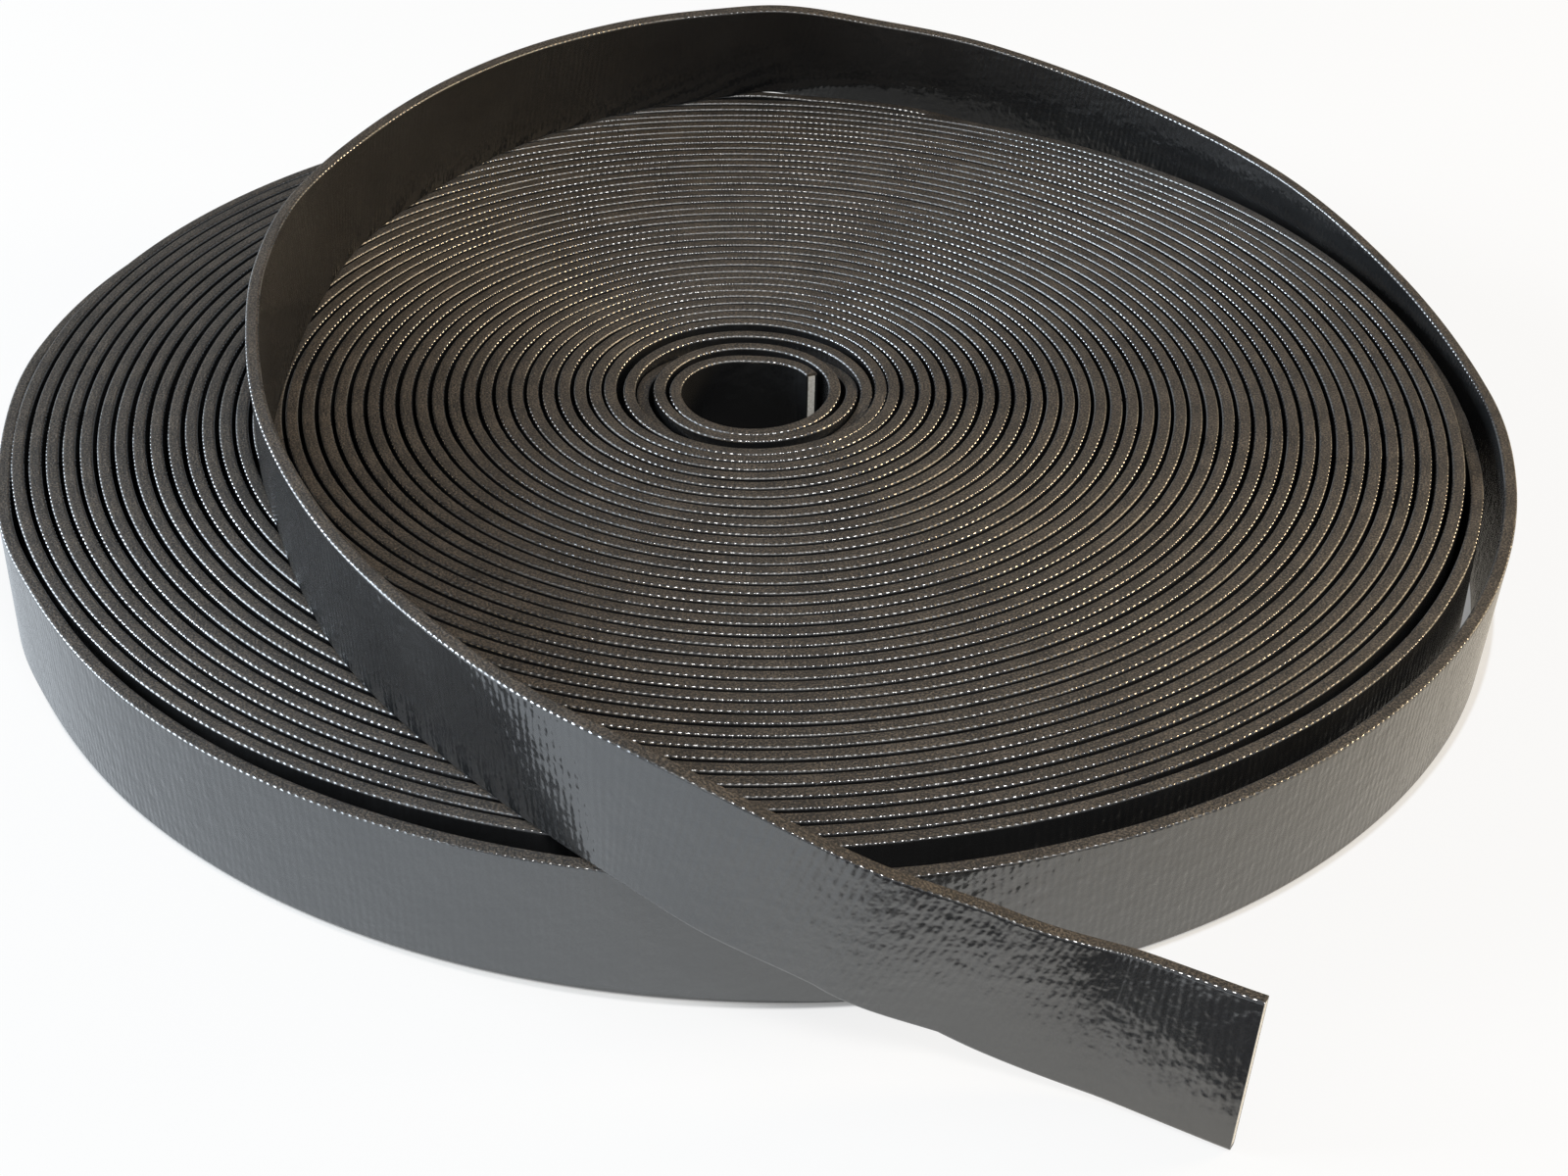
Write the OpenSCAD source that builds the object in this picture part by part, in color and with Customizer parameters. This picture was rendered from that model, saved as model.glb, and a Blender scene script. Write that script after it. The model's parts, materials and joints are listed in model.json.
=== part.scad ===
// Flat coated strip, wound edge-on into a round coil that lies on its side.
// The last turn is loose: it stands off the coil, climbs over the rim at the back,
// crosses the coil's top and comes down in front to a free, square-cut end.
// Millimetres, +Z up. The origin is at the centre of the whole part's footprint.

/* [Strip] */
// Width of the flat strip, which is the height of the coil
strip_width = 25; // [16:0.5:40]
// Thickness of the coated strip
strip_thick = 2.4; // [2:0.1:3]
// Coating over each flat side of the woven core
face_coat = 0.45; // [0.3:0.05:0.6]
// Coating beyond each edge of the woven core
edge_coat = 0.5; // [0.4:0.1:1.5]
// Clearance round the core inside its coating
core_gap = 0.05; // [0.04:0.01:0.1]
// Bevel along the four corners of the loose strip
corner_bevel = 0.4; // [0.2:0.05:0.6]

/* [Coil] */
// Radius from which the coil's spiral starts
eye_radius = 12.5; // [10:0.5:40]
// Direction of the cut inner end, in degrees anticlockwise from +X
inner_end_angle = 30; // [0:15:90]
// Air between one turn and the next
turn_gap = 0.6; // [0.6:0.05:1.2]
// Turns in the first winding, which follows the single innermost turn
inner_loops = 20; // [6:1:23]
// Turns in the second winding; the half turn ends the coil at its left side
outer_loops = 20.5; // [8.5:1:23.5]
// How far the innermost turn sits off the coil's axis, towards the front
eye_shift = 2.4; // [0:0.1:2.4]
// Turns over which that offset dies out
eye_shift_turns = 15; // [15:1:30]

/* [Loose turn] */
// Air between the coil's top and the strip that crosses it
rest_gap = 0.5; // [0.45:0.05:0.7]

/* [Hidden] */

coating_colour = "#2b2a29";
core_colour = "#e6e0d2";

pitch = strip_thick + turn_gap;
coil_turns = 1 + inner_loops + outer_loops;
end_radius = eye_radius + pitch * coil_turns;
rings_per_loop = 24;
rings_per_span = 2;

// The loose turn's route, from beside the coil's end to the free end. Each row is
// [angle, stand-off, lift, lean]: degrees round the coil's axis, millimetres outside
// the radius at which the coil ends, height of the strip's lowest corner from 0 on the
// floor to 1 on the coil's top, and degrees by which its upper edge leans in.
ROUTE = [
  [199, 0.6, 0, 0], [212, 0.9, 0, -0.5], [226, 2, 0, -1.5], [240, 2.9, 0, -2],
  [254, 3.6, 0, -2.5], [268, 4.3, 0, -2.5], [282, 5.3, 0, -2], [296, 5.5, 0, -2.5],
  [309, 5.6, 0, -2.5], [322, 5.3, 0, -2.5], [335, 4.7, 0, -3], [349, 3.6, 0, -4.5],
  [3, 3, 0, -4.5], [20, 2.5, 0.1, -3.5], [37, 4.2, 0.27, -1], [54, 6.6, 0.41, 2],
  [68, 6.1, 0.62, 7], [79, 2.6, 0.81, 14.5], [88, -2.3, 1, 20.5], [96, -6.9, 1, 17],
  [105, -12.2, 1, 15.5], [117, -21, 1, 13], [131, -31.2, 1, 9.5], [147, -39.7, 1, 7],
  [165, -45.7, 1, -2.5], [183, -47.6, 1, -3], [199, -45.4, 1, 0], [214, -40.6, 1, -4],
  [226, -33.6, 1, -3.5], [236, -25.6, 1, -2.5], [244.5, -17.8, 1, -3], [252.5, -8.9, 1, -4],
  [259, -0.2, 1, -3], [264.5, 7.6, 1, 0], [270, 14, 0.88, 1], [276.5, 19.3, 0.63, -4],
  [283, 22.2, 0.3, -2.5], [289, 30, 0.03, 8.5], [293.8, 45.4, 0, 11.5]
];

// ---- strips ----

// A point of the strip's middle line, a given number of turns from its inner end
function turn_shift(n) = eye_shift * max(0, 1 - n / eye_shift_turns);
function turn_point(n) =
  let (r = eye_radius + pitch * n)
  [r * cos(360 * n), r * sin(360 * n) - turn_shift(n), strip_width / 2];

function unit(v) = v / norm(v);

// A frame on the route is [place, outward, upward]: the strip's thickness runs
// along outward and its width along upward.
function turn_frame(n) = [turn_point(n), [cos(360 * n), sin(360 * n), 0], [0, 0, 1]];

// Where a wound stretch ends, half way along one straight step and square to it
half_step = 1 / rings_per_loop / 2;
function joint_frame(n) =
  let (place = (turn_point(n - half_step) + turn_point(n + half_step)) / 2)
  [place, [cos(360 * n), sin(360 * n), 0], [0, 0, 1]];
function winding_frames(first, last) = concat(
  [joint_frame(first)],
  [for (i = [1 : round((last - first) * rings_per_loop)])
    turn_frame(first + (2 * i - 1) * half_step)],
  [joint_frame(last)]
);

// A place on the route: its position on the floor plan, the height of the strip's
// lowest corner there, and the strip's lean
function route_place(row) =
  let (r = end_radius + row[1])
  [r * cos(row[0]), r * sin(row[0]), row[2] * (strip_width + rest_gap), row[3]];

// The route sets out from the end of the coil's last straight step.
route_start = turn_point(coil_turns + half_step);
ROUTE_PLACES = concat(
  [[route_start.x, route_start.y, 0, 0]],
  [for (row = ROUTE) route_place(row)]
);

// Catmull-Rom curve through the places, with its slope
function place_at(i) = ROUTE_PLACES[max(0, min(len(ROUTE_PLACES) - 1, i))];
function curve(a, b, c, d, t) =
  b + (c - a) * t / 2 + (2 * a - 5 * b + 4 * c - d) * t * t / 2
  + (3 * b - a - 3 * c + d) * t * t * t / 2;
function curve_slope(a, b, c, d, t) =
  (c - a) / 2 + (2 * a - 5 * b + 4 * c - d) * t + (3 * b - a - 3 * c + d) * t * t * 1.5;
function route_frame(i, t) =
  let (
    a = place_at(i - 1), b = place_at(i), c = place_at(i + 1), d = place_at(i + 2),
    place = curve(a, b, c, d, t),
    slope = curve_slope(a, b, c, d, t),
    lean = place[3],
    along = unit([slope[0], slope[1], slope[2]]),
    level = unit(cross(along, [0, 0, 1])),
    upright = cross(level, along),
    outward = level * cos(lean) + upright * sin(lean),
    upward = upright * cos(lean) - level * sin(lean),
    stand = strip_width / 2 * upward.z + strip_thick / 2 * abs(outward.z)
  )
  [[place[0], place[1], max(0, place[2]) + stand], outward, upward];
spans = len(ROUTE_PLACES) - 1;
LOOSE_FRAMES = concat(
  [joint_frame(coil_turns), turn_frame(coil_turns + half_step)],
  [for (i = [0 : spans - 1], k = [1 : rings_per_span]) route_frame(i, k / rings_per_span)]
);

// Frames of the three wound stretches, each starting where the one before it ends
inner_end = inner_end_angle / 360;
FIRST_FRAMES = winding_frames(inner_end, 1);
INNER_FRAMES = winding_frames(1, 1 + inner_loops);
OUTER_FRAMES = winding_frames(1 + inner_loops, coil_turns);

// ---- solids swept along frames ----

// Section outlines, as [along the width, through the thickness]
function plain_section(w, t) = [[-w, -t], [w, -t], [w, t], [-w, t]] / 2;
function bevelled_section(w, t, b) = [
  [-w / 2 + b, -t / 2], [w / 2 - b, -t / 2], [w / 2, -t / 2 + b], [w / 2, t / 2 - b],
  [w / 2 - b, t / 2], [-w / 2 + b, t / 2], [-w / 2, t / 2 - b], [-w / 2, -t / 2 + b]
];

function corner(frame, s) = frame[0] + frame[2] * s[0] + frame[1] * s[1];
function ring_points(frames, section) =
  [for (frame = frames, s = section) corner(frame, s)];

// Two triangles for each side of each step, facing away from the strip or into it
function wall_faces(steps, sides, start, outward) = [
  for (i = [0 : steps - 1], j = [0 : sides - 1])
    let (
      a = start + i * sides + j,
      b = start + i * sides + (j + 1) % sides,
      c = b + sides,
      d = a + sides
    )
    each (outward ? [[a, d, c], [a, c, b]] : [[a, c, d], [a, b, c]])
];

module solid_strip(frames, section) {
  sides = len(section);
  last = (len(frames) - 1) * sides;
  polyhedron(
    points = ring_points(frames, section),
    faces = concat(
      wall_faces(len(frames) - 1, sides, 0, true),
      [for (j = [1 : sides - 2]) [0, j, j + 1]],
      [for (j = [1 : sides - 2]) [last, last + j + 1, last + j]]
    ),
    convexity = 10
  );
}

module hollow_strip(frames, section, bore) {
  sides = len(section);
  steps = len(frames) - 1;
  inside = len(frames) * sides;
  last = steps * sides;
  polyhedron(
    points = concat(ring_points(frames, section), ring_points(frames, bore)),
    faces = concat(
      wall_faces(steps, sides, 0, true),
      wall_faces(steps, sides, inside, false),
      [for (j = [0 : sides - 1])
        let (k = (j + 1) % sides)
        each [[j, k, inside + k], [j, inside + k, inside + j]]],
      [for (j = [0 : sides - 1])
        let (a = last + j, b = last + (j + 1) % sides)
        each [[a, inside + b, b], [a, inside + a, inside + b]]]
    ),
    convexity = 10
  );
}

bore_width = strip_width - 2 * edge_coat;
bore_thick = strip_thick - 2 * face_coat;
core_width = bore_width - 2 * core_gap;
core_thick = bore_thick - 2 * core_gap;
bore_bevel = corner_bevel / 2;

// ---- clearances, measured on the points and printed ----

function to_segment(p, a, b) =
  let (ab = b - a, t = max(0, min(1, (p - a) * ab / (ab * ab))))
  norm(p - a - ab * t);
function flat(p) = [p.x, p.y];
function face_line(frames, side) =
  [for (frame = frames) flat(frame[0] + frame[1] * side * strip_thick / 2)];
function to_line(p, line, from, to) =
  min([for (i = [max(0, from) : min(len(line) - 2, to)]) to_segment(p, line[i], line[i + 1])]);

// Least gap of a winding to itself: each turn's outer face against the next turn's
// inner face, both ways round
function gap_to_self(frames) =
  let (
    outer = face_line(frames, 1),
    inner = face_line(frames, -1),
    loop = rings_per_loop,
    last = len(frames) - 1
  )
  min([for (i = [0 : last - loop]) min(
    to_line(outer[i], inner, i + loop - 3, i + loop + 2),
    to_line(inner[i + loop], outer, i - 3, i + 2)
  )]);

WHOLE_COIL = winding_frames(inner_end, coil_turns);
echo("least gap of the whole coil to itself, mm", gap_to_self(WHOLE_COIL));
echo("least gap of inner_turns to itself, mm", gap_to_self(INNER_FRAMES));
echo("least gap of outer_turns to itself, mm", gap_to_self(OUTER_FRAMES));

// The loose turn against the coil: clear when above its top or outside its rim
function rim_radius(angle) =
  let (share = angle / 360)
  eye_radius + pitch * (floor(coil_turns - share) + share) + strip_thick / 2;
function loose_angle(p) = (atan2(p.y, p.x) + 360) % 360;
function coil_clearance(p) =
  max(p.z - strip_width, norm(flat(p)) - rim_radius(loose_angle(p)));
inner_face = [for (share = [-0.5 : 0.25 : 0.5]) [share * strip_width, -strip_thick / 2]];
echo("least gap of the loose turn to the coil, mm", min([
  for (i = [1 : len(LOOSE_FRAMES) - 1], s = inner_face)
    coil_clearance(corner(LOOSE_FRAMES[i], s))
]));

// The loose turn against itself, where its last rows cross its own first ones in front
crossing_rows = 10;
crossing = len(LOOSE_FRAMES) - rings_per_span * crossing_rows;
START_LINE = face_line(LOOSE_FRAMES, 1);
echo("least gap of the loose turn to itself, mm", min([
  for (i = [crossing : len(LOOSE_FRAMES) - 1], s = inner_face)
    let (p = corner(LOOSE_FRAMES[i], s))
    max(p.z - strip_width, to_line(flat(p), START_LINE, 0, crossing / 2))
]));

// ---- place of the origin ----

FOOTPRINT = [
  for (frame = concat(OUTER_FRAMES, LOOSE_FRAMES),
       s = bevelled_section(strip_width, strip_thick, corner_bevel))
    corner(frame, s)
];
function middle(values) = (min(values) + max(values)) / 2;
footprint_centre = [
  middle([for (p = FOOTPRINT) p.x]),
  middle([for (p = FOOTPRINT) p.y]),
  0
];
echo("coil axis from the origin, mm", -footprint_centre);
echo("lowest point, mm", min([for (p = FOOTPRINT) p.z]));
function run_length(frames) =
  [for (i = [1 : len(frames) - 1]) norm(frames[i][0] - frames[i - 1][0])] *
  [for (i = [1 : len(frames) - 1]) 1];
echo("length of the wound strip, mm", run_length(WHOLE_COIL));
echo("length of the loose strip, mm", run_length(LOOSE_FRAMES));

// ---- the parts ----

// Coating of the innermost turn, open at the cut inner end
module first_turn_coating() {
  color(coating_colour)
    translate(-footprint_centre)
      hollow_strip(
        FIRST_FRAMES,
        plain_section(strip_width, strip_thick),
        plain_section(bore_width, bore_thick)
      );
}

// Woven core inside the innermost turn, flush with the cut end
module first_turn_core() {
  color(core_colour)
    translate(-footprint_centre)
      solid_strip(FIRST_FRAMES, plain_section(core_width, core_thick));
}

// Coated strip, wound turn on turn round the first one
module inner_turns() {
  color(coating_colour)
    translate(-footprint_centre)
      solid_strip(INNER_FRAMES, plain_section(strip_width, strip_thick));
}

// Coated strip, wound on to the coil's rim
module outer_turns() {
  color(coating_colour)
    translate(-footprint_centre)
      solid_strip(OUTER_FRAMES, plain_section(strip_width, strip_thick));
}

// Coating of the loose last turn and the free end
module loose_turn_coating() {
  color(coating_colour)
    translate(-footprint_centre)
      hollow_strip(
        LOOSE_FRAMES,
        bevelled_section(strip_width, strip_thick, corner_bevel),
        bevelled_section(bore_width, bore_thick, bore_bevel)
      );
}

// Woven core of the loose turn, flush with the cut free end
module loose_turn_core() {
  color(core_colour)
    translate(-footprint_centre)
      solid_strip(LOOSE_FRAMES, bevelled_section(core_width, core_thick, bore_bevel));
}

first_turn_coating();
first_turn_core();
inner_turns();
outer_turns();
loose_turn_coating();
loose_turn_core();
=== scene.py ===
# %% [markdown]
# # A coil of flat coated strip hose
#
# The real object is one long strip, 25 mm wide and 2.4 mm thick. A woven cream core is
# dipped in black rubbery coating, and the strip is wound edge-on, turn on turn, into a
# disc that lies on its side. The last turn has come loose: it stands off the coil, climbs
# over the rim at the back, crosses the top and drops in front to a square-cut free end.
#
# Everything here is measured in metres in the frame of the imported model, so a piece
# needs no fitting: it's made where it belongs.

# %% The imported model
import json
import math

import bmesh
import bpy
import numpy as np
from mathutils import Matrix, Vector

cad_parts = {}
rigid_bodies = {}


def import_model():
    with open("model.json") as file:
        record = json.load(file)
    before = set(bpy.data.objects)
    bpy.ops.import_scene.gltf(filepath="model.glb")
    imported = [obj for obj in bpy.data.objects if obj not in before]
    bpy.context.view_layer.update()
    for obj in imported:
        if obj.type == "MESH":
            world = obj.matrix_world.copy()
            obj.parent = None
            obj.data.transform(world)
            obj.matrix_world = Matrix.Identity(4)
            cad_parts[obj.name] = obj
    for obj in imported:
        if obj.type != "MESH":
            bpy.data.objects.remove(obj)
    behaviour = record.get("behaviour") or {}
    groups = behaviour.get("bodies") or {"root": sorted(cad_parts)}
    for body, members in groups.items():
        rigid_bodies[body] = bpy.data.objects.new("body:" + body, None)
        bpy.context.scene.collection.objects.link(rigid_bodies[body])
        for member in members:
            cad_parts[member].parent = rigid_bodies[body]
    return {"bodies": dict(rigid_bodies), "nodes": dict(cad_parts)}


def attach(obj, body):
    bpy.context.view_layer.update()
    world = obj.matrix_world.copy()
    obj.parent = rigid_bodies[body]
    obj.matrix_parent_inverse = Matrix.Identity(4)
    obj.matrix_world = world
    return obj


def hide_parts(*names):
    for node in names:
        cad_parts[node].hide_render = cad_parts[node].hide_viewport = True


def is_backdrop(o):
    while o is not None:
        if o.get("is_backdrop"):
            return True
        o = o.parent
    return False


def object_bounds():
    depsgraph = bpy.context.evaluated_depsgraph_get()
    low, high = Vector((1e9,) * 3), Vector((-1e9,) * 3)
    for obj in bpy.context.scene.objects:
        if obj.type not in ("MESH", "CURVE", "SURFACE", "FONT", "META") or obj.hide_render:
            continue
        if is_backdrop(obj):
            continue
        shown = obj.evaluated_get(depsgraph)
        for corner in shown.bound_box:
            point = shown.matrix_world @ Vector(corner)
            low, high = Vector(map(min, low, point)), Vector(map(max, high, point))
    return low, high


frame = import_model()
cad_low, cad_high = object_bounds()
print("bodies", list(frame["bodies"]), "nodes", sorted(frame["nodes"]))

# %% [markdown]
# ## Sizes of the strip and the coil
#
# These are the same named sizes that the solids are made from. A place along the winding
# is given in turns, counted outwards: at turn 0 the strip's middle line would stand at the
# eye's radius, and every whole number lies on the right, towards +X. The coil's axis isn't
# at the origin, because the origin is the middle of the whole footprint, loose end
# included.

# %% Sizes in metres
MM = 0.001
STRIP_WIDTH = 25 * MM
STRIP_THICK = 2.4 * MM
FACE_COAT = 0.45 * MM
EDGE_COAT = 0.5 * MM
CORE_GAP = 0.05 * MM  # between the core and the coating round it
EYE_RADIUS = 12.5 * MM
PITCH = 3.0 * MM
REST_GAP = 0.5 * MM  # between the coil's top and the turn that crosses it
INNER_CUT = 23 / 360  # turns
FIRST_END = 1.0
INNER_END = 21.0
COIL_TURNS = 41.5
END_RADIUS = EYE_RADIUS + PITCH * COIL_TURNS
AXIS = Vector((-2.5793, 14.3258, 0)) * MM
print("coil's radius", round(END_RADIUS, 4), "turns", COIL_TURNS)

# %% [markdown]
# ## The camera
#
# A camera looks along its own -Z. Its place and turn come from a least-squares fit of
# the coil's rings, so the numbers are odd ones. The rotation is built from the three
# directions of the camera: right, up and back.

# %% Camera
CAMERA_PLACE = Vector((7.542, -419.801, 264.67)) * MM  # from the coil's axis
LOOKS_DOWN = math.radians(34.2816)
ROLL = math.radians(1.2966)
LENS_MM = 58.087
SENSOR_MM = 36
NEAREST_SEEN = 0.01

right = Vector((1, 0, 0))
up = Vector((0, math.sin(LOOKS_DOWN), math.cos(LOOKS_DOWN)))
back = Vector((0, -math.cos(LOOKS_DOWN), math.sin(LOOKS_DOWN)))
rolled_right = right * math.cos(ROLL) + up * math.sin(ROLL)
rolled_up = up * math.cos(ROLL) - right * math.sin(ROLL)

camera_data = bpy.data.cameras.new("camera")
camera_data.lens = LENS_MM
camera_data.sensor_width = SENSOR_MM
camera_data.clip_start = NEAREST_SEEN
camera = bpy.data.objects.new("camera", camera_data)
bpy.context.scene.collection.objects.link(camera)
turn = Matrix((rolled_right, rolled_up, back)).transposed().to_4x4()
camera.matrix_world = Matrix.Translation(CAMERA_PLACE + AXIS) @ turn
bpy.context.scene.camera = camera
print("camera at", [round(v, 3) for v in camera.location])

# %% [markdown]
# ## The run of the strip
#
# A strip is swept along a run of frames. Each frame has a place, the direction its
# thickness faces (outward) and the direction its width stands (upward). Two runs are
# needed: the spiral of the wound turns, and the route of the loose turn, whose rows are
# the ones in the part's source.

# %% A run of frames
class Run:
    """Places and directions along a strip, one row for each ring of its surface. `tall`
    is the share of its full width that the strip stands high."""

    def __init__(self, place, outward, upward, tall=1.0):
        self.place = np.asarray(place)
        self.tall = np.zeros(len(place)) + tall
        self.outward = np.asarray(outward)
        self.upward = np.asarray(upward)
        steps = np.linalg.norm(np.diff(self.place, axis=0), axis=1)
        self.along = np.concatenate([[0], np.cumsum(steps)])

    def __len__(self):
        return len(self.place)


def unit(v):
    return v / np.linalg.norm(v, axis=1)[:, None]


# %% [markdown]
# ### The wound turns
#
# A wound spiral is never perfect. Round the eye the first turns have slipped, so there
# are wide gaps on one side and turns that touch on the other. `SLIP` holds how far, in
# millimetres, the strip's middle line lies outside the even spiral at a number of turns.
# Its rows near turn 41 let the last loop bulge a little at the front right.
#
# `DRIFT` holds what the middle turns and the outer turns do together, in millimetres at
# an angle in degrees: the coil isn't quite round. `SUNK` holds how far a turn's upper
# edge lies below its neighbours' edges: one loop beside the eye, and the coil's last loop
# on the right and behind, but not where the loose turn rests on it.

# %% Slips of the wound turns
SLIP = np.array([
    (0.06, 0.3), (0.25, -2.4), (0.40, -1.2), (0.556, 0.3), (0.75, 2.2), (0.87, 1.7),
    (0.958, 1.0), (1.1, 0.5), (1.25, -0.35), (1.40, -0.3), (1.556, 0.15), (1.75, 1.65),
    (1.87, 1.6), (1.958, 1.3), (2.1, 0.5), (2.25, -1.0), (2.40, -0.6), (2.556, 0.4),
    (2.75, 1.05), (2.87, 1.15), (2.958, 1.1), (3.1, -0.3), (3.25, -1.6), (3.40, -1.0),
    (3.556, -0.1), (3.75, 0.45), (3.958, 0.6), (4.1, 0.65), (4.25, 0.6), (4.556, 0.3),
    (4.75, -0.15), (4.958, 0.1), (5.25, 0.5), (5.556, 0.1), (5.75, -0.25), (5.958, 0.0),
    (6.25, 0.45), (6.556, 0.0), (6.75, -0.2), (7.25, 0.35), (7.75, -0.1), (8.25, 0.25),
    (8.75, -0.05), (9.25, 0.15), (9.75, 0.0), (10.5, 0.0), (40.79, 0.0),
    (40.82, 0.24), (40.847, 0.56), (40.875, 1.05), (40.903, 1.2), (40.931, 0.95),
    (40.958, 0.5), (40.986, 0.1), (41.03, 0.0), (45, 0.0),
])
DRIFT = np.array([
    (0, 0.3, 0.2), (25, 0.1, 0.65), (50, -0.35, 0.4), (75, -0.6, -0.1), (95, -0.85, -0.25),
    (120, -0.8, 0.3), (150, -0.5, 1.05), (180, -0.2, 0.7), (210, -0.35, 0.65),
    (235, -0.4, 0.9), (260, -0.1, 0.5), (280, 0.4, 0.1), (300, 0.35, 0.0),
    (320, 0.05, 0.0), (345, 0.0, 0.1), (360, 0.3, 0.2),
])
SUNK = np.array([
    (1.95, 0), (2.1, 2.0), (2.25, 3.4), (2.4, 2.0), (2.5, 0.9), (2.6, 1.6), (2.75, 3.2),
    (2.9, 1.6), (3.0, 0), (40.93, 0), (40.958, 0.8), (40.986, 2.4), (41.02, 2.9),
    (41.17, 2.9), (41.215, 0), (41.325, 0), (41.36, 2.9), (41.417, 2.9), (41.439, 2.2),
    (41.461, 1.4), (41.483, 0.6), (41.5, 0),
])
print("slips", SLIP[:, 1].min(), "to", SLIP[:, 1].max(), "mm, sunk", SUNK[:, 1].max(), "mm")

# %% [markdown]
# Such tables need a curve that passes through their rows and doesn't overshoot between
# them. A spline would swing past a steep step, so a cubic with limited slopes is used.
# `ramp` fades an effect in, or out where its end is the smaller number. `waves` adds up a
# few sines from a seeded generator: smooth, never repeating, and the same on every run.

# %% Curves through the tables
def smooth_between(x, knots, values):
    """Cubic through the knots with flat-limited slopes, so nothing overshoots."""
    slopes = np.diff(values) / np.diff(knots)
    before, after = slopes[:-1], slopes[1:]
    same = before * after > 0
    tangent = np.zeros_like(values)
    tangent[1:-1][same] = (2 * before * after / (before + after + 1e-12))[same]
    i = np.clip(np.searchsorted(knots, x) - 1, 0, len(knots) - 2)
    width = knots[i + 1] - knots[i]
    t = np.clip((x - knots[i]) / width, 0, 1)
    return (
        values[i] * (1 + 2 * t) * (1 - t) ** 2 + tangent[i] * width * t * (1 - t) ** 2
        + values[i + 1] * t * t * (3 - 2 * t) + tangent[i + 1] * width * t * t * (t - 1)
    )


def ramp(x, start, end):
    return np.clip((x - start) / (end - start), 0, 1)


def waves(n, seed):
    """Smooth noise along the winding, from -1 to 1, changing from one turn to the next."""
    draw = np.random.default_rng(seed)
    total = np.zeros_like(n)
    for k in range(9):
        rate = draw.uniform(0.6, 5.3)
        total += np.sin(2 * np.pi * (rate * n + draw.uniform())) * draw.uniform(0.4, 1)
    return total / 4.5


# %% [markdown]
# The spiral is the sum of all this. Past the turns round the eye the strip also wanders
# sideways and upward by about a tenth of a millimetre. Where the loose turn first rests
# on the coil, behind it, the outer turns stand a little proud, and the last loop is
# nudged up and out to meet it. Without that the round corners leave a slit there, with
# the floor showing through.

# %% The spiral
WANDER = 0.06 * MM
RISE = 0.12 * MM
PROUD_MM = 0.42
NUDGED_OUT_MM = 0.35
NUDGED_UP_MM = 0.51


def drift(degrees, column):
    return smooth_between(degrees, DRIFT[:, 0], DRIFT[:, column])


def winding(first, last, rings_per_loop):
    """The run of the wound strip between two numbers of turns."""
    n = np.linspace(first, last, round((last - first) * rings_per_loop) + 1)
    angle = 2 * np.pi * n
    degrees = 360 * (n % 1)
    calm = ramp(n, 1, 5) * ramp(n, COIL_TURNS, COIL_TURNS - 0.33)
    slip = smooth_between(n, SLIP[:, 0], SLIP[:, 1])
    middle = drift(degrees, 1) * ramp(n, 8, 12) * ramp(n, 35, 26)
    outer = drift(degrees, 2) * ramp(n, 30, 36) * ramp(n, COIL_TURNS, COIL_TURNS - 0.12)
    under_strap = ramp(n, 38, 41) * ramp(degrees, 74, 84) * ramp(degrees, 108, 98)
    nudged = ramp(n, 40.6, 41) * ramp(degrees, 85, 90) * ramp(degrees, 96, 92)
    radius = EYE_RADIUS + PITCH * n + (slip + middle + outer + NUDGED_OUT_MM * nudged) * MM
    radius = radius + WANDER * calm * waves(n, 4)
    lift = RISE * calm * (1 + waves(n, 9)) * (1 - under_strap)
    lift = lift + (PROUD_MM * under_strap + NUDGED_UP_MM * nudged) * MM
    tall = 1 - smooth_between(n, SUNK[:, 0], SUNK[:, 1]) * MM / STRIP_WIDTH
    outward = np.c_[np.cos(angle), np.sin(angle), 0 * n]
    place = outward * radius[:, None] + np.array(AXIS)
    place[:, 2] = STRIP_WIDTH / 2 * tall + lift
    return Run(place, outward, np.tile([0.0, 0.0, 1.0], (len(n), 1)), tall)


# %% [markdown]
# ### The loose turn
#
# Each row of the route is an angle round the axis, a stand-off in millimetres outside
# the radius where the coil ends, the height of the lowest corner from 0 on the floor to
# 1 on the coil's top, and the lean of the upper edge towards the axis in degrees. A
# Catmull-Rom curve passes through every row, which keeps the strip fair without
# solving for anything. It needs one row more before the first, to know its direction
# there, and that row lies back along the spiral.

# %% Route of the loose turn
ROUTE = [
    (199, 0.6, 0, 0), (212, 0.9, 0, -0.5), (226, 2, 0, -1.5), (240, 2.9, 0, -2),
    (254, 3.6, 0, -2.5), (268, 4.3, 0, -2.5), (282, 5.3, 0, -2), (296, 5.5, 0, -2.5),
    (309, 5.6, 0, -2.5), (322, 5.3, 0, -2.5), (335, 4.7, 0, -3), (349, 3.6, 0, -4.5),
    (3, 3, 0, -4.5), (20, 2.5, 0.1, -3.5), (37, 4.2, 0.27, -1), (54, 6.6, 0.41, 2),
    (68, 6.1, 0.62, 7), (79, 2.6, 0.81, 14.5), (88, -2.3, 1, 20.5), (96, -6.9, 1, 17),
    (105, -12.2, 1, 15.5), (117, -21, 1, 13), (131, -31.2, 1, 9.5), (147, -39.7, 1, 7),
    (165, -45.7, 1, -2.5), (183, -47.6, 1, -3), (199, -45.4, 1, 0), (214, -40.6, 1, -4),
    (226, -33.6, 1, -3.5), (236, -25.6, 1, -2.5), (244.5, -17.8, 1, -3), (252.5, -8.9, 1, -4),
    (259, -0.2, 1, -3), (264.5, 7.6, 1, 0), (270, 14, 0.88, 1), (276.5, 19.3, 0.63, -4),
    (283, 22.2, 0.3, -2.5), (289, 30, 0.03, 8.5), (293.8, 45.4, 0, 11.5),
]
COIL_ENDS_AT = 180  # degrees round the axis
LEAD_BACK = 19  # degrees


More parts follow.
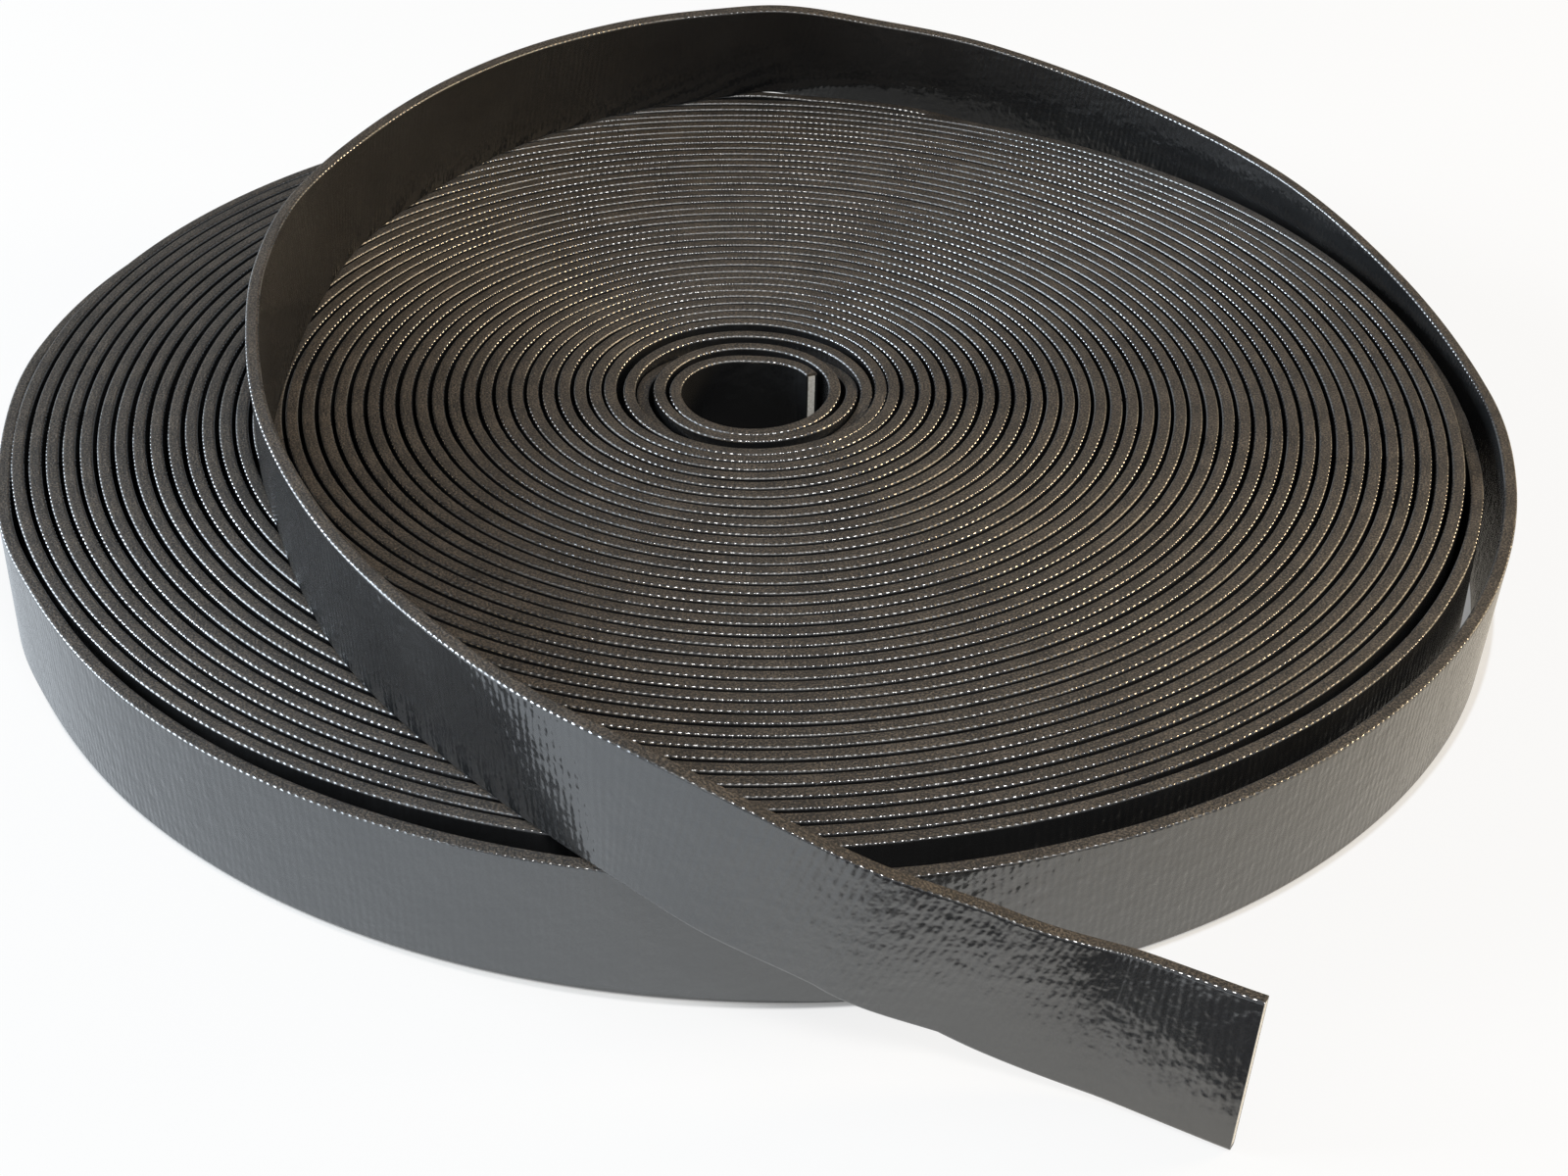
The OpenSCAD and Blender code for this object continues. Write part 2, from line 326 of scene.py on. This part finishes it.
def route_rows():
    """Rows of place on the floor plan, height of the lowest corner, and lean."""
    r, a = END_RADIUS - PITCH * LEAD_BACK / 360, math.radians(COIL_ENDS_AT - LEAD_BACK)
    rows = [(r * math.cos(a), r * math.sin(a), 0.0, 0.0), (-END_RADIUS, 0.0, 0.0, 0.0)]
    for angle, stand_off, lift, lean in ROUTE:
        r, a = END_RADIUS + stand_off * MM, math.radians(angle)
        rows.append((r * math.cos(a), r * math.sin(a), lift * (STRIP_WIDTH + REST_GAP), lean))
    return np.array(rows)


# %% [markdown]
# The strip stands square to its own run, so its outward and upward directions come from
# the curve's slope and are then turned by the lean. The rows give the height of the
# lowest corner, so `stand`, which is how far the strip's middle lies above that corner, is
# added. Near the free end the curve through the rows leaves small kinks in the lower
# edge, so the heights of the last rings are averaged with their neighbours'.

# %% Run of the loose turn
EASED_RINGS = 150
EASED_OVER = 41
RINGS_PER_SPAN = 24


def loose_run(per_span):
    rows = route_rows()
    i = np.arange(1, len(rows) - 1)
    a, b, c, d = (rows[np.minimum(i + k, len(rows) - 1)][:, None] for k in (-1, 0, 1, 2))
    t = (np.arange(per_span) / per_span)[None, :, None]
    curve = b + (c - a) * t / 2 + (2 * a - 5 * b + 4 * c - d) * t**2 / 2
    curve = curve + (3 * b - a - 3 * c + d) * t**3 / 2
    slope = (c - a) / 2 + (2 * a - 5 * b + 4 * c - d) * t + (3 * b - a - 3 * c + d) * t**2 * 1.5
    curve = np.concatenate([curve.reshape(-1, 4), rows[-1:]])
    slope = np.concatenate([slope.reshape(-1, 4), slope[-1:, -1]])
    along = unit(slope[:, :3])
    level = unit(np.c_[along[:, 1], -along[:, 0], 0 * along[:, 0]])
    upright = np.cross(level, along)
    lean = np.radians(curve[:, 3:])
    outward = level * np.cos(lean) + upright * np.sin(lean)
    upward = upright * np.cos(lean) - level * np.sin(lean)
    stand = STRIP_WIDTH / 2 * upward[:, 2] + STRIP_THICK / 2 * abs(outward[:, 2])
    place = curve[:, :3].copy()
    lift = np.maximum(0, place[:, 2])
    taper = np.hanning(EASED_OVER)
    eased = np.convolve(np.pad(lift, EASED_OVER // 2, "edge"), taper / taper.sum(), "valid")
    lift[-EASED_RINGS:] = eased[-EASED_RINGS:]
    place[:, 2] = lift + stand
    return Run(place + np.array(AXIS), outward, upward)


LOOSE = loose_run(RINGS_PER_SPAN)
print("loose turn", round(float(LOOSE.along[-1]), 3), "m in", len(LOOSE), "rings")

# %% [markdown]
# ## Sweeping a section along a run
#
# The section is a flat oblong with small round corners. Its outline starts at the lower
# inner corner, and goes up the inner face, over the top edge, down the outer face and
# back along the bottom edge. Every point also carries how much of an edge it is, from 0
# on a face to 1 on a cut edge, which the materials read. An extra point before and after
# each round corner keeps the shading of the flats flat.

# %% Section of the strip
ROUND = 0.5 * MM
BORE_ROUND = 0.2 * MM
CORNER_LEAD = 0.12 * MM
FINE, COARSE = (3, CORNER_LEAD), (1, 0)  # steps in a corner's arc, and its lead


def rounded(u, v, radius, steps, lead):
    """One corner of the section: points [along the width, through the thickness, edge]."""
    side_u, side_v = math.copysign(1, u), math.copysign(1, v)
    middle = np.array([u - side_u * radius, v - side_v * radius])
    first = math.atan2(side_v, side_u) - math.pi / 4
    points = []
    for k in range(-1, steps + 2):
        a = first + math.pi / 2 * min(max(k, 0), steps) / steps
        out, forward = np.array([math.cos(a), math.sin(a)]), np.array([-math.sin(a), math.cos(a)])
        slide = -lead if k < 0 else lead if k > steps else 0
        if slide or 0 <= k <= steps:
            points.append([*(middle + radius * out + forward * slide), out[0] ** 2])
    return points


def strip_section(width, thick, radius, low=COARSE):
    """The section's outline. `low` says how fine the two corners at the bottom are."""
    w, t = width / 2, thick / 2
    corners = [(-w, -t, *low), (w, -t, *FINE), (w, t, *FINE), (-w, t, *low)]
    return np.array([
        point for u, v, steps, lead in corners for point in rounded(u, v, radius, steps, lead)
    ])


# %% [markdown]
# The strip's skin is a grid with one column for each point of the section and one row
# for each frame of the run. `create_grid` makes it flat, its points are moved to where
# the frames say, and the first and last columns are merged, which closes it into a tube.
# The grid is also where the UV map comes from: U is the length along the strip and V the
# way round the section, both in metres, so a weave stays the same size on a piece of any
# length.

# %% Sweep
def skin(run, section, inward=False):
    """A bmesh tube with a UV map: the section carried along the run."""
    rings, sides = len(run), len(section)
    grid = bmesh.new()
    grid.loops.layers.uv.new("strip")
    bmesh.ops.create_grid(grid, x_segments=rings - 1, y_segments=sides, size=0.5)
    mesh = bpy.data.meshes.new("skin")
    grid.to_mesh(mesh)
    grid.free()

    # each point's row and column say where it belongs
    flat = np.zeros(len(mesh.vertices) * 3)
    mesh.vertices.foreach_get("co", flat)
    flat = flat.reshape(-1, 3)
    row = np.rint((flat[:, 0] + 0.5) * (rings - 1)).astype(int)
    column = np.rint((flat[:, 1] + 0.5) * sides).astype(int)
    point = section[column % sides]
    height = point[:, :1] * run.tall[row][:, None]
    place = run.place[row] + run.upward[row] * height + run.outward[row] * point[:, 1:2]
    mesh.vertices.foreach_set("co", place.ravel())
    mesh.attributes.new("edge", "FLOAT", "POINT").data.foreach_set("value", point[:, 2].copy())

    # the UV map
    loop = np.vstack([section, section[:1]])[:, :2]
    around = np.concatenate([[0], np.cumsum(np.linalg.norm(np.diff(loop, axis=0), axis=1))])
    corner = np.zeros(len(mesh.loops), int)
    mesh.loops.foreach_get("vertex_index", corner)
    uv = np.c_[run.along[row[corner]], around[column[corner]]]
    mesh.uv_layers["strip"].data.foreach_set("uv", uv.ravel())

    # closed into a tube
    tube = bmesh.new()
    tube.from_mesh(mesh)
    bpy.data.meshes.remove(mesh)
    seam = [v for v, c in zip(tube.verts, column) if c in (0, sides)]
    bmesh.ops.remove_doubles(tube, verts=seam, dist=1e-6)
    if inward:
        bmesh.ops.reverse_faces(tube, faces=tube.faces)
    return tube


# %% [markdown]
# A tube becomes a solid strip when its ends are filled. A hollow piece gets a second,
# smaller skin inside the first, turned inside out, and the two are bridged at each end,
# so it's a closed wall.

# %% Solid and hollow strips
def open_ends(tube):
    """The edges round the tube's open ends, marked sharp so that the flat cut end
    doesn't bend the shading of the last ring."""
    ends = [e for e in tube.edges if e.is_boundary]
    for edge in ends:
        edge.smooth = False
    return ends


def finished(tube, name, material):
    """Makes an object of a bmesh, with its material, smooth apart from filled ends."""
    bmesh.ops.recalc_face_normals(tube, faces=tube.faces)
    mesh = bpy.data.meshes.new(name)
    tube.to_mesh(mesh)
    tube.free()
    for polygon in mesh.polygons:
        polygon.use_smooth = polygon.loop_total == 4
    piece = bpy.data.objects.new(name, mesh)
    bpy.context.scene.collection.objects.link(piece)
    mesh.materials.append(material)
    triangles = sum(p.loop_total - 2 for p in mesh.polygons)
    print(name, triangles, "triangles")
    return piece


def solid_strip(run, section, name, material):
    tube = skin(run, section)
    bmesh.ops.holes_fill(tube, edges=open_ends(tube), sides=0)
    return finished(tube, name, material)


def hollow_strip(run, section, bore, name, material):
    tube = skin(run, section)
    inner = skin(run, bore, inward=True)
    spare = bpy.data.meshes.new("spare")
    inner.to_mesh(spare)
    inner.free()
    tube.from_mesh(spare)
    bpy.data.meshes.remove(spare)
    ends = open_ends(tube)
    for k in (0, -1):
        square = Vector(run.upward[k]).cross(Vector(run.outward[k]))
        in_plane = [
            e for e in ends
            if max(abs((v.co - Vector(run.place[k])).dot(square)) for v in e.verts) < 1e-5
        ]
        bmesh.ops.bridge_loops(tube, edges=in_plane)
    return finished(tube, name, material)


# %% [markdown]
# ## Materials
#
# A tiny language for shader maths. A `Value` wraps a socket, and the operators that are
# used on it add Math nodes, so a mask reads as one line of arithmetic.

# %% Sockets as values
class Value:
    """A node's output socket that can be used in arithmetic."""

    def __init__(self, kit, socket):
        self.kit = kit
        self.socket = socket

    def _with(self, operation, *others, swap=False):
        values = [self, *others]
        if swap:
            values.reverse()
        settings = {"operation": operation}
        return self.kit.node("ShaderNodeMath", settings, dict(enumerate(values)))

    def __add__(self, other):
        return self._with("ADD", other)

    __radd__ = __add__

    def __mul__(self, other):
        return self._with("MULTIPLY", other)

    __rmul__ = __mul__

    def __sub__(self, other):
        return self._with("SUBTRACT", other)

    def __rsub__(self, other):
        return self._with("SUBTRACT", other, swap=True)

    def __truediv__(self, other):
        return self._with("DIVIDE", other)

    def __pow__(self, other):
        return self._with("POWER", other)

    def sine(self):
        return self._with("SINE")

    def most(self, other):
        return self._with("MAXIMUM", other)

    def step(self, low, high):
        """0 below low, 1 above high and smooth between them."""
        return self.kit.node(
            "ShaderNodeMapRange",
            {"interpolation_type": "SMOOTHSTEP"},
            {"Value": self, "From Min": low, "From Max": high},
        )


# %% [markdown]
# A `Kit` is one material's tree of nodes. Its method `node` is the only place that adds
# one: settings come first, because they can change which sockets a node has, and then
# each socket gets a link or a number. The other methods give the usual nodes short names.

# %% A kit for one material
class Kit:
    """One material's node tree, with a single method that adds a node."""

    def __init__(self, name):
        self.material = bpy.data.materials.new(name)
        self.material.use_nodes = True
        self.tree = self.material.node_tree
        self.tree.nodes.clear()

    def node(self, kind, settings=None, inputs=None, output=0):
        made = self.tree.nodes.new(kind)
        for key, setting in (settings or {}).items():
            setattr(made, key, setting)
        for key, given in (inputs or {}).items():
            socket = made.inputs[key]
            if isinstance(given, Value):
                self.tree.links.new(given.socket, socket)
            else:
                socket.default_value = given
        return Value(self, made.outputs[output]) if made.outputs else None

    def place(self):
        """Where a point is, in metres."""
        return self.node("ShaderNodeTexCoord", output="Object")

    def component(self, vector, axis):
        return self.node("ShaderNodeSeparateXYZ", {}, {"Vector": vector}, output=axis)

    def vector(self, x, y, z):
        return self.node("ShaderNodeCombineXYZ", {}, {"X": x, "Y": y, "Z": z})

    def mix(self, factor, a, b):
        """Between two colours: sockets 0, 6 and 7 are the factor and the two colours."""
        settings = {"data_type": "RGBA"}
        return self.node("ShaderNodeMix", settings, {0: factor, 6: a, 7: b}, output=2)

    def noise(self, vector, scale, detail=3.0, roughness=0.55):
        inputs = {"Vector": vector, "Scale": scale, "Detail": detail, "Roughness": roughness}
        return self.node("ShaderNodeTexNoise", {}, inputs)

    def bump(self, height, distance, strength=1.0, normal=None):
        inputs = {"Height": height, "Distance": distance, "Strength": strength}
        if normal is not None:
            inputs["Normal"] = normal
        return self.node("ShaderNodeBump", {}, inputs)

    def principled(self, **sockets):
        names = {key.replace("_", " "): value for key, value in sockets.items()}
        return self.node("ShaderNodeBsdfPrincipled", {}, names)

    def blend(self, factor, a, b):
        """Between two shaders."""
        return self.node("ShaderNodeMixShader", {}, {0: factor, 1: a, 2: b})

    def finish(self, shader):
        self.node("ShaderNodeOutputMaterial", {}, {"Surface": shader})
        return self.material


# %% [markdown]
# ### The black coating
#
# The coating is one skin with three looks: satin faces, a glossy lip along each corner
# and dull felt on the cut edges. What they share is the cloth underneath, which shows
# through as fine ribs across the strip and slanted picks between them. Both are sine
# waves over the UV map, bent a little by a slow noise, because a real yarn never runs
# quite straight. Noise that is squeezed more one way than the other makes its fibres.

# %% The cloth under the coating
RIB_PITCH = 1.35 * MM
PICK_PITCH = 2.3 * MM
PICK_SLANT = 0.35
WOBBLE = 1.2 * MM


class Cloth:
    """Where a point of the strip's skin is, and the patterns that its looks share."""

    def __init__(self, kit):
        self.kit = kit
        uv = kit.node("ShaderNodeUVMap", {"uv_map": "strip"})
        self.place = kit.place()
        self.along = kit.component(uv, "X")
        self.around = kit.component(uv, "Y")
        self.edge = kit.node("ShaderNodeAttribute", {"attribute_name": "edge"}, output="Fac")
        wobble = kit.noise(kit.vector(self.along, self.around, 0.0), 60.0, 2.0) * WOBBLE
        self.ribs = self.rows(self.along + wobble, RIB_PITCH)
        self.picks = self.rows(self.around + self.along * PICK_SLANT + wobble, PICK_PITCH)
        self.grain = self.fibres(2600.0, 1700.0, 2.0)
        self.tufts = self.fibres(1100.0, 900.0, 3.0)

    def rows(self, distance, pitch):
        """A sine from 0 to 1 and back in each pitch."""
        return (distance * (2 * math.pi / pitch)).sine() * 0.5 + 0.5

    def fibres(self, per_metre_along, per_metre_around, detail, roughness=0.55):
        x, y = self.along * per_metre_along, self.around * per_metre_around
        return self.kit.noise(self.kit.vector(x, y, 0.0), 1.0, detail, roughness)


# %% [markdown]
# The faces are black and satin, with shallow dents, and with patches where the cloth
# shows more. A face stands upright on a pale floor, so what is seen in it is mostly that
# floor. In a real room the floor is often brighter than white. Here it's no brighter, so
# a high index of refraction makes up for it, and a little of a rougher shader adds haze
# round each highlight.
#
# The lip is where the coating has gathered along a corner. The ribs break it into beads,
# and each bead catches the light by itself, which gives a row of short bright dashes
# where a lamp is right and nothing elsewhere. Worn stretches are duller.

# %% Faces and lips
WEAVE_DEPTH = 0.08 * MM
DENT_DEPTH = 0.35 * MM
BEAD_DEPTH = 0.11 * MM
HAZE = 0.12


def black(kit, cloth):
    return kit.mix(
        kit.noise(cloth.place, 45.0, 4.0).step(0.35, 0.7),
        (0.010, 0.0104, 0.011, 1), (0.017, 0.0175, 0.018, 1),
    )


def satin_face(kit, cloth, colour):
    patches = kit.noise(cloth.place, 22.0, 3.0).step(0.42, 0.62)
    shows = 0.5 + patches * 0.5
    streaks = cloth.fibres(900.0, 70.0, 4.0)
    weave = cloth.ribs * (0.45 + cloth.picks * 0.55) * shows
    dents = kit.noise(cloth.place, 380.0, 2.0, 0.5) * shows
    woven = kit.bump(weave + streaks * 0.7 + cloth.grain * 0.2, WEAVE_DEPTH, 0.8)
    normal = kit.bump(dents, DENT_DEPTH, 1.0, woven)
    roughness = 0.10 + streaks * 0.10 + patches * 0.06
    shiny = kit.principled(Base_Color=colour, Roughness=roughness, Normal=normal, IOR=2.2)
    hazy = kit.principled(Base_Color=colour, Roughness=0.55, Normal=normal, IOR=2.0)
    return kit.blend(HAZE, shiny, hazy)


def beaded_lip(kit, cloth, colour):
    beads = kit.bump(cloth.ribs + cloth.grain * 0.3, BEAD_DEPTH)
    worn = kit.noise(cloth.place, 60.0, 2.0).step(0.42, 0.58)
    roughness = 0.20 + worn * 0.22
    return kit.principled(Base_Color=colour, Roughness=roughness, Normal=beads, IOR=3.0)


# %% [markdown]
# The cut edges are dull, brown-black and felt-like: fibres stand out of the coating, some
# pale and some dark. The mesh's own "edge" value says where each look belongs. The felt
# begins where the coating ends along the corner, and that line is bitten by the weave,
# stitch by stitch.

# %% Felt, and the whole coating
FELT_DEPTH = 0.18 * MM
LIP_BEGINS = (0.04, 0.3)  # values of "edge", 0 on a face and 1 on a cut edge
FELT_BEGINS = (0.68, 0.80)


def felted_edge(kit, cloth):
    felt = cloth.fibres(2300.0, 2600.0, 4.0, 0.7)
    blotch = kit.noise(cloth.place, 160.0, 3.0)
    colour = kit.mix(
        (felt * 0.85 + blotch * 0.15).step(0.44, 0.62),
        (0.016, 0.013, 0.010, 1), (0.140, 0.112, 0.084, 1),
    )
    normal = kit.bump(felt * 1.5 + cloth.tufts, FELT_DEPTH)
    return kit.principled(Base_Color=colour, Roughness=0.6, Normal=normal, IOR=1.5)


def coating():
    kit = Kit("coating")
    cloth = Cloth(kit)
    colour = black(kit, cloth)
    face = satin_face(kit, cloth, colour)
    lip = beaded_lip(kit, cloth, colour)
    coated = kit.blend(cloth.edge.step(*LIP_BEGINS), face, lip)
    bite = cloth.ribs * 0.5 + (cloth.tufts - 0.5) * 1.2 + (cloth.grain - 0.5) * 0.4
    bare = (cloth.edge + bite * 0.5).step(*FELT_BEGINS)
    return kit.finish(kit.blend(bare, coated, felted_edge(kit, cloth)))


COATING = coating()
print("coating", len(COATING.node_tree.nodes), "nodes")

# %% [markdown]
# ### The woven core
#
# Cream yarns, seen only where the strip is cut. The yarn ends show as small pale tufts,
# and one fine noise does the work, for the colour and for the relief. Where it is low the
# colour is darker, a painted shade in the gaps between the tufts.

# %% Core
TUFT_DEPTH = 0.15 * MM


def woven_core():
    kit = Kit("woven_core")
    tufts = kit.noise(kit.place(), 1900.0, 4.0, 0.65)
    # painted shade: the low parts of the relief get the darker colour
    shade = tufts.step(0.36, 0.6)
    colour = kit.mix(shade, (0.68, 0.65, 0.58, 1), (0.88, 0.86, 0.80, 1))
    normal = kit.bump(tufts, TUFT_DEPTH)
    return kit.finish(kit.principled(Base_Color=colour, Roughness=0.9, Normal=normal))


CORE = woven_core()
print("woven core", len(CORE.node_tree.nodes), "nodes")

# %% [markdown]
# ## The pieces
#
# The strip is really two pieces: the coating, and the core inside it. Both ends of it are
# cut, and there the cream core shows in a thin black wall. So the loose turn and the
# coil's first turn are a hollow coating with a core in it.
#
# The loose turn comes first. It's a free length of something flexible, swept along its own
# route, and its core is swept along the same route inside it.

# %% Loose turn
SECTION = strip_section(STRIP_WIDTH, STRIP_THICK, ROUND, low=FINE)
bore_width, bore_thick = STRIP_WIDTH - 2 * EDGE_COAT, STRIP_THICK - 2 * FACE_COAT
BORE = strip_section(bore_width, bore_thick, BORE_ROUND)
CORE_SECTION = strip_section(bore_width - 2 * CORE_GAP, bore_thick - 2 * CORE_GAP, BORE_ROUND)


def stand_for(rows):
    """Each row is a piece, the solid that it stands for, and its material's slot, which is not
    used.
    """
    for piece, node, slot in rows:
        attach(piece, "root")
        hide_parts(node)


loose_coating = hollow_strip(LOOSE, SECTION, BORE, "loose_turn", COATING)
loose_core = solid_strip(LOOSE, CORE_SECTION, "loose_turn_woven_core", CORE)
stand_for([
    (loose_coating, "loose_turn_coating", "coating"),
    (loose_core, "loose_turn_core", "woven_core"),
])
tuple(LOOSE.place[0])
LOOSE.place.tolist()

# %% [markdown]
# The other turns of the coil are packed, and nothing of their inside is ever seen, so
# they are solid strips of coating in two lengths. They are made a trace thinner than the
# strip, so that two turns that have slipped together don't cut into each other. A wider
# loop gets more rings, which keeps the bends smooth at the rim without spending
# triangles at the eye.

# %% Wound turns
THINNER = 0.05 * MM
FIRST_RINGS, INNER_RINGS, OUTER_RINGS = 160, 184, 280  # for each loop
PLAIN = strip_section(STRIP_WIDTH, STRIP_THICK - THINNER, ROUND)

first_run = winding(INNER_CUT, FIRST_END, FIRST_RINGS)
inner_run = winding(FIRST_END, INNER_END, INNER_RINGS)
outer_run = winding(INNER_END, COIL_TURNS, OUTER_RINGS)
first_coating = hollow_strip(first_run, PLAIN, BORE, "first_turn", COATING)
first_core = solid_strip(first_run, CORE_SECTION, "first_turn_woven_core", CORE)
inner_turns = solid_strip(inner_run, PLAIN, "inner_wound_turns", COATING)
outer_turns = solid_strip(outer_run, PLAIN, "outer_wound_turns", COATING)
stand_for([
    (first_coating, "first_turn_coating", "coating"),
    (first_core, "first_turn_core", "woven_core"),
    (inner_turns, "inner_turns", "coating"),
    (outer_turns, "outer_turns", "coating"),
])
wound_length = sum(float(run.along[-1]) for run in (first_run, inner_run, outer_run))
print("wound length", round(wound_length, 3))

# %% [markdown]
# ## Floor and light
#
# The floor is plain and pale, and in a bright room such a floor clips to white. So it
# glows at a strength of 1, which is white, mixed with a matt paint that takes the coil's
# shadow. Reflections see the glow alone, because a black strip has little to show apart
# from the floor it stands on. For them the glow is painted light: a cool tint on the
# window's side and a warm tint on the lamp's side. In front on the right, past the strip's
# free end, a dark patch is painted into that glow, a painted shade that the strip's faces
# reflect near the free end.
#
# Under the coil the floor doesn't glow, and its paint is nearly black: a painted shade. On
# a real coil no light gets down there, and a glowing floor would shine up through the eye
# and the gaps between the turns. Just outside the coil's foot the glow is dimmed in a
# ring, a painted shade. The loose turn stands off the coil towards the front right, so
# the circle where the full glow begins is shifted that way, and the dimmed ring fills the
# channel under the loose turn.

# %% Floor
COIL_FOOT = (0.1358, 0.1366)  # distances from the axis
# painted shade: the dimmed glow round the coil's foot ends between these distances
PAINTED_SHADE_OUTER_EDGE = (0.139, 0.140)
SHIFT = 4.3 * MM
SHIFT_RIGHT, SHIFT_FRONT = 0.643, 0.766
# painted light: where the glow that reflections see goes from a cool tint to a warm one
PAINTED_COOL_TO_WARM = (-0.10, 0.22)  # distances to the right of the axis
# painted shade: where a dark patch lies in that glow, past the strip's free end
PAINTED_DARK_PATCH_RIGHT = (-0.005, 0.03)
PAINTED_DARK_PATCH_FRONT = (0.178, 0.194)
# the glow in that ring of painted shade
GLOW_IN_PAINTED_SHADE = 0.3
SHARE_OF_GLOW = 0.82
WHITE = (1, 1, 1, 1)
# painted light in the glow that reflections see: cool on the window's side, warm on the lamp's
# side
PAINTED_COOL_LIGHT = (0.86, 0.93, 1.0, 1)
PAINTED_WARM_LIGHT = (1.0, 0.88, 0.70, 1)
# painted shade in that glow, past the strip's free end
PAINTED_DARK_PATCH = (0.06, 0.06, 0.065, 1)
# painted shade: the nearly black paint under the coil
PAINTED_SHADE_UNDER_COIL = (0.04, 0.04, 0.04, 1)
PAINT = (0.86, 0.86, 0.85, 1)


def floor_material():
    kit = Kit("floor")
    camera_ray = kit.node("ShaderNodeLightPath", output="Is Camera Ray")
    glossy = kit.node("ShaderNodeLightPath", output="Is Glossy Ray")
    through = kit.node("ShaderNodeLightPath", output="Is Transmission Ray")
    place = kit.place()
    x = kit.component(place, "X")
    y = kit.component(place, "Y")
    reach = ((x - AXIS.x) ** 2 + (y - AXIS.y) ** 2) ** 0.5
    toward_front = ((x - AXIS.x) * SHIFT_RIGHT - (y - AXIS.y) * SHIFT_FRONT) / reach
    # painted shade: a ring of dimmed glow at the coil's foot, shifted to the front right
    clear = (reach - toward_front * SHIFT).step(*PAINTED_SHADE_OUTER_EDGE)
    glow_with_painted_shade = (reach.step(*COIL_FOOT) * GLOW_IN_PAINTED_SHADE).most(clear)
    seen = camera_ray.most(glossy).most(through) * glow_with_painted_shade
    # painted light and painted shade: the colour of the glow that reflections see
    painted_reflection = kit.mix((x - AXIS.x).step(*PAINTED_COOL_TO_WARM), PAINTED_COOL_LIGHT, PAINTED_WARM_LIGHT)
    painted_dark_patch = (AXIS.y - y).step(*PAINTED_DARK_PATCH_FRONT) * (x - AXIS.x).step(*PAINTED_DARK_PATCH_RIGHT)
    painted_reflection = kit.mix(painted_dark_patch, painted_reflection, PAINTED_DARK_PATCH)
    glow_colour = kit.mix(glossy, WHITE, painted_reflection)
    # painted shade: nearly black paint under the coil
    paint = kit.mix(reach.step(*COIL_FOOT), PAINTED_SHADE_UNDER_COIL, PAINT)
    matt = kit.principled(Base_Color=paint, Roughness=1.0, Specular_IOR_Level=0.0)
    glow = kit.node("ShaderNodeEmission", {}, {"Color": glow_colour, "Strength": 1.0})
    share = SHARE_OF_GLOW + glossy * (1 - SHARE_OF_GLOW)
    return kit.finish(kit.blend(seen * share, matt, glow))


FLOOR_HALF = 40  # far enough for a low view's horizon
FLOOR_DROP = 0.2 * MM

floor_mesh = bpy.data.meshes.new("floor")
floor_build = bmesh.new()
bmesh.ops.create_grid(floor_build, x_segments=1, y_segments=1, size=FLOOR_HALF)
floor_build.to_mesh(floor_mesh)
floor_build.free()
floor = bpy.data.objects.new("floor", floor_mesh)
floor_mesh.materials.append(floor_material())
floor.location.z = -FLOOR_DROP
bpy.context.scene.collection.objects.link(floor)
floor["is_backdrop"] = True
print("floor", 2 * FLOOR_HALF, "m wide")

# %% [markdown]
# Three softboxes light the coil, and a weak even sky fills the shadows. On something so
# black, a lamp matters less for what it lights than for the highlights that it puts on
# the glossy lips: a corner flashes where it faces halfway between the lamp and the eye.
# The window far to the left does that along the outer corners on the left and the inner
# corners at the back right. The lamp on the right does it in gold, low on the right and
# at the back left, and the one overhead draws the dashes in front.

# %% Lamps and sky
SKY_COLOUR = (0.93, 0.96, 1.0, 1)
SKY_STRENGTH = 0.25
LAMP_DISTANCE = 1.2

world = bpy.data.worlds.new("sky")
world.use_nodes = True
sky = world.node_tree.nodes["Background"]
sky.inputs["Color"].default_value = SKY_COLOUR
sky.inputs["Strength"].default_value = SKY_STRENGTH
bpy.context.scene.world = world


def lamp(name, azimuth, elevation, width, height, power, colour):
    """A softbox that looks at the coil's middle. The two angles are in degrees."""
    data = bpy.data.lights.new(name, "AREA")
    data.shape = "RECTANGLE"
    data.size = width
    data.size_y = height
    data.energy = power
    data.color = colour
    softbox = bpy.data.objects.new(name, data)
    a, e = math.radians(azimuth), math.radians(elevation)
    direction = Vector((math.cos(a) * math.cos(e), math.sin(a) * math.cos(e), math.sin(e)))
    softbox.location = AXIS + direction * LAMP_DISTANCE
    softbox.rotation_euler = direction.to_track_quat("Z", "Y").to_euler()
    bpy.context.scene.collection.objects.link(softbox)
    print(name, power, "W")


lamp("overhead", 285, 53, 0.35, 0.30, 6.6, (1.0, 0.98, 0.95))
lamp("window_left", 174, 18, 0.80, 0.60, 19.0, (0.80, 0.90, 1.0))
lamp("lamp_right", 14, 20, 0.40, 0.25, 8.0, (1.0, 0.76, 0.46))

bpy.context.scene.view_settings.view_transform = "Standard"

# %% [markdown]
# ## The size of what was made
#
# Dressing a model mustn't change its dimensions. So the box round the solids is taken
# straight after the import, and the box round the finished pieces is taken here and
# printed.

# %% Size of what was made
low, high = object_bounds()
list(cad_low)
list(cad_high)
list(low)
list(high)
print("visual box", [round(v, 4) for v in low], [round(v, 4) for v in high])
